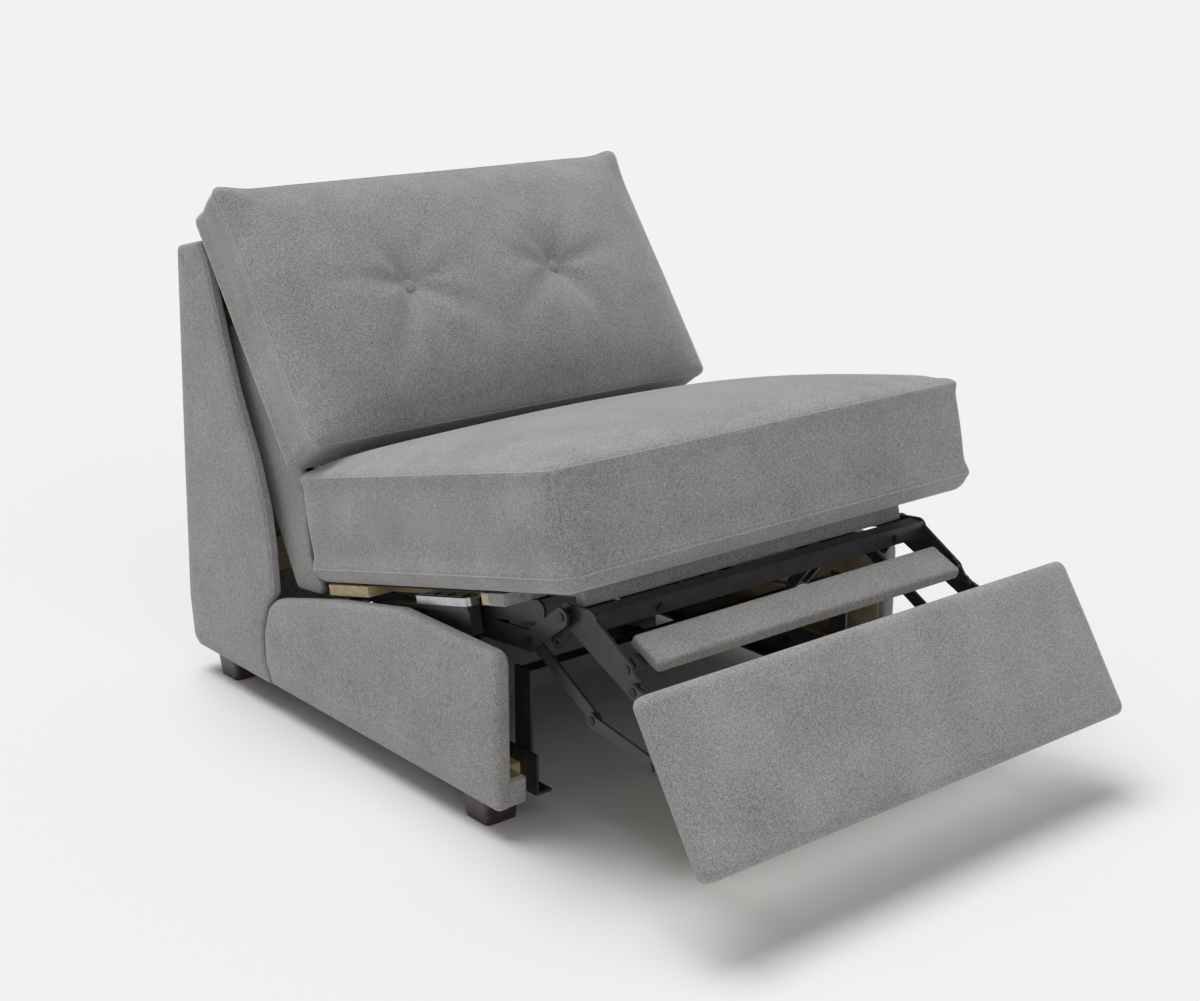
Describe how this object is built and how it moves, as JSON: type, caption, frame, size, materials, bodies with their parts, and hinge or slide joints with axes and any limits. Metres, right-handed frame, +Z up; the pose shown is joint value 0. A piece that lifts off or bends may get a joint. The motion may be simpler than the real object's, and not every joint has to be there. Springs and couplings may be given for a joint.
{
  "type": "armless power recliner",
  "caption": "Armless recliner in grey cloth with a tufted back, boxed seat cushion and a padded footrest on a folding steel linkage, shown half open.",
  "frame": {"origin": "centre of the bounding box's underside, on the floor", "axes": "+Z up, -Y the way the sitter faces, +X to the sitter's left"},
  "size_m": [0.92, 1.4579, 0.9209],
  "materials": {
    "grey_fabric": "soft brushed grey upholstery cloth",
    "cushion_fabric": "soft brushed grey upholstery cloth over foam",
    "liner_cloth": "pale cream lining board",
    "dark_wood": "dark stained, satin",
    "pale_board": "pale plywood, unvarnished",
    "black_steel": "charcoal powder coat, satin",
    "pin_steel": "dark zinc plated",
    "spring_wire": "drawn wire",
    "deck_cloth": "thin black non-woven cloth",
    "drive_plastic": "fine texture",
    "rod_steel": "polished rod",
    "rim_metal": "satin metal rim",
    "button_plastic": "dark gloss"
  },
  "bodies": {
    "base": {"shell_rear_panel": "grey_fabric", "shell_side_left": "grey_fabric", "shell_side_right": "grey_fabric", "shell_rails": "pale_board", "side_panel_left": "grey_fabric", "side_panel_right": "grey_fabric", "side_liners": "liner_cloth", "feet": "dark_wood", "base_rail_left": "black_steel", "base_rail_right": "black_steel", "front_uprights": "black_steel", "base_tubes": "black_steel", "base_blocks": "pale_board", "base_pivot_pins": "pin_steel"},
    "front_swing": {"front_swing_links": "black_steel"},
    "rear_swing": {"rear_swing_links": "black_steel"},
    "seat": {"seat_plate_left": "black_steel", "seat_plate_right": "black_steel", "seat_steelwork": "black_steel", "seat_board_left": "pale_board", "seat_board_right": "pale_board", "seat_cross_boards": "pale_board", "seat_apron": "grey_fabric", "seat_pivot_pins": "pin_steel", "seat_deck_cloth": "deck_cloth", "seat_springs": "spring_wire", "seat_cushion": "cushion_fabric", "control_shelf_and_box": "black_steel", "control_bezel": "rim_metal"},
    "back": {"back_brackets": "black_steel", "back_frame": "pale_board", "wing_blocks": "pale_board", "wing_left": "grey_fabric", "wing_right": "grey_fabric", "back_springs": "spring_wire", "back_cushion": "cushion_fabric", "back_tuft_buttons": "cushion_fabric"},
    "arms": {"main_arm_left": "black_steel", "main_arm_right": "black_steel", "torque_tube_and_crank": "black_steel", "arm_fasteners": "pin_steel"},
    "upper_link_pair": {"upper_links": "black_steel"},
    "rear_link_pair": {"rear_links": "black_steel", "knee_pins": "pin_steel"},
    "lower_link_pair": {"lower_links": "black_steel"},
    "bracket_pair": {"board_brackets": "black_steel", "bracket_pins": "pin_steel"},
    "footrest": {"footrest_board": "pale_board", "footrest_pad": "grey_fabric", "board_ears": "black_steel"},
    "middle_flap": {"middle_pad": "grey_fabric", "middle_pad_frame": "black_steel"},
    "lift_cylinder": {"lift_drive": "drive_plastic"},
    "lift_plunger": {"lift_rod": "rod_steel"},
    "push_cylinder": {"push_drive": "drive_plastic"},
    "push_plunger": {"push_rod": "rod_steel"},
    "key_rear": {"button_rear": "button_plastic"},
    "key_middle": {"button_middle": "button_plastic"},
    "key_front": {"button_front": "button_plastic"}
  },
  "joints": [
    {"name": "recline", "type": "hinge", "parent": "base", "child": "front_swing", "pos_m": [0, -0.056, 0.086], "axis": [1, 0, 0], "range_deg": [-33.5, 1.5]},
    {"name": "rear_swing", "type": "hinge", "parent": "base", "child": "rear_swing", "pos_m": [0, 0.342, 0.082], "axis": [1, 0, 0], "range_deg": [-37.59, 2.16]},
    {"name": "seat_pitch", "type": "hinge", "parent": "front_swing", "child": "seat", "pos_m": [0, -0.087, 0.302], "axis": [-1, 0, 0], "range_deg": [-39.73, 2.26]},
    {"name": "back_lean", "type": "hinge", "parent": "seat", "child": "back", "pos_m": [0, 0.322, 0.282], "axis": [-1, 0, 0], "range_deg": [-4.08, 0.66]},
    {"name": "footrest_out", "type": "hinge", "parent": "seat", "child": "arms", "pos_m": [0, -0.309, 0.373], "axis": [-1, 0, 0], "range_deg": [-40, 1]},
    {"name": "upper_link", "type": "hinge", "parent": "arms", "child": "upper_link_pair", "pos_m": [0, -0.464, 0.301], "axis": [-1, 0, 0], "range_deg": [-4.36, 154.78]},
    {"name": "bracket", "type": "hinge", "parent": "upper_link_pair", "child": "bracket_pair", "pos_m": [0, -0.572, 0.268], "axis": [-1, 0, 0], "range_deg": [-140.94, 4.01]},
    {"name": "rear_link", "type": "hinge", "parent": "seat", "child": "rear_link_pair", "pos_m": [0, -0.232, 0.314], "axis": [-1, 0, 0], "range_deg": [-40.4, 1.5]},
    {"name": "lower_link", "type": "hinge", "parent": "rear_link_pair", "child": "lower_link_pair", "pos_m": [0, -0.38, 0.231], "axis": [-1, 0, 0], "range_deg": [-3.97, 139.26]},
    {"name": "flap_turn", "type": "hinge", "parent": "arms", "child": "middle_flap", "pos_m": [0, -0.443, 0.328], "axis": [-1, 0, 0], "range_deg": [-4.47, 159.5]},
    {"name": "footrest_tilt", "type": "hinge", "parent": "bracket_pair", "child": "footrest", "pos_m": [0, -0.56062, 0.30945], "axis": [-1, 0, 0], "range_deg": [0, 55]},
    {"name": "lift_swivel", "type": "hinge", "parent": "seat", "child": "lift_cylinder", "pos_m": [0, 0.149, 0.262], "axis": [-1, 0, 0], "range_deg": [-0.51, 0.75]},
    {"name": "lift_stroke", "type": "slide", "parent": "lift_cylinder", "child": "lift_plunger", "axis": [0, -0.991, 0.1341], "range_m": [-0.03647, 0.00286]},
    {"name": "push_swivel", "type": "hinge", "parent": "base", "child": "push_cylinder", "pos_m": [0, -0.149, 0.235], "axis": [-1, 0, 0], "range_deg": [-2.69, 0.6]},
    {"name": "push_stroke", "type": "slide", "parent": "push_cylinder", "child": "push_plunger", "axis": [0, 0.9995, -0.0324], "range_m": [-0.00789, 0.1336]},
    {"name": "press_rear", "type": "slide", "parent": "seat", "child": "key_rear", "axis": [0, -0.23, -0.9732], "range_m": [0, 0.0015], "stiffness_N_per_m": 600, "springref_m": -0.002},
    {"name": "press_middle", "type": "slide", "parent": "seat", "child": "key_middle", "axis": [0, -0.23, -0.9732], "range_m": [0, 0.0015], "stiffness_N_per_m": 600, "springref_m": -0.002},
    {"name": "press_front", "type": "slide", "parent": "seat", "child": "key_front", "axis": [0, -0.23, -0.9732], "range_m": [0, 0.0015], "stiffness_N_per_m": 600, "springref_m": -0.002}
  ],
  "couplings": [
    {"joint": "rear_swing", "follows": "recline", "ratio": 1.1073},
    {"joint": "seat_pitch", "follows": "recline", "ratio": 1.1711},
    {"joint": "back_lean", "follows": "recline", "ratio": 0.107},
    {"joint": "upper_link", "follows": "footrest_out", "ratio": -3.857},
    {"joint": "bracket", "follows": "footrest_out", "ratio": 3.511},
    {"joint": "rear_link", "follows": "footrest_out", "ratio": 0.9975},
    {"joint": "lower_link", "follows": "footrest_out", "ratio": -3.469},
    {"joint": "flap_turn", "follows": "footrest_out", "ratio": -3.975},
    {"joint": "lift_swivel", "follows": "footrest_out", "ratio": -0.0063},
    {"joint": "lift_stroke", "follows": "footrest_out", "m_per_rad": 0.04938},
    {"joint": "push_swivel", "follows": "recline", "ratio": 0.0654},
    {"joint": "push_stroke", "follows": "recline", "m_per_rad": -0.22508}
  ]
}
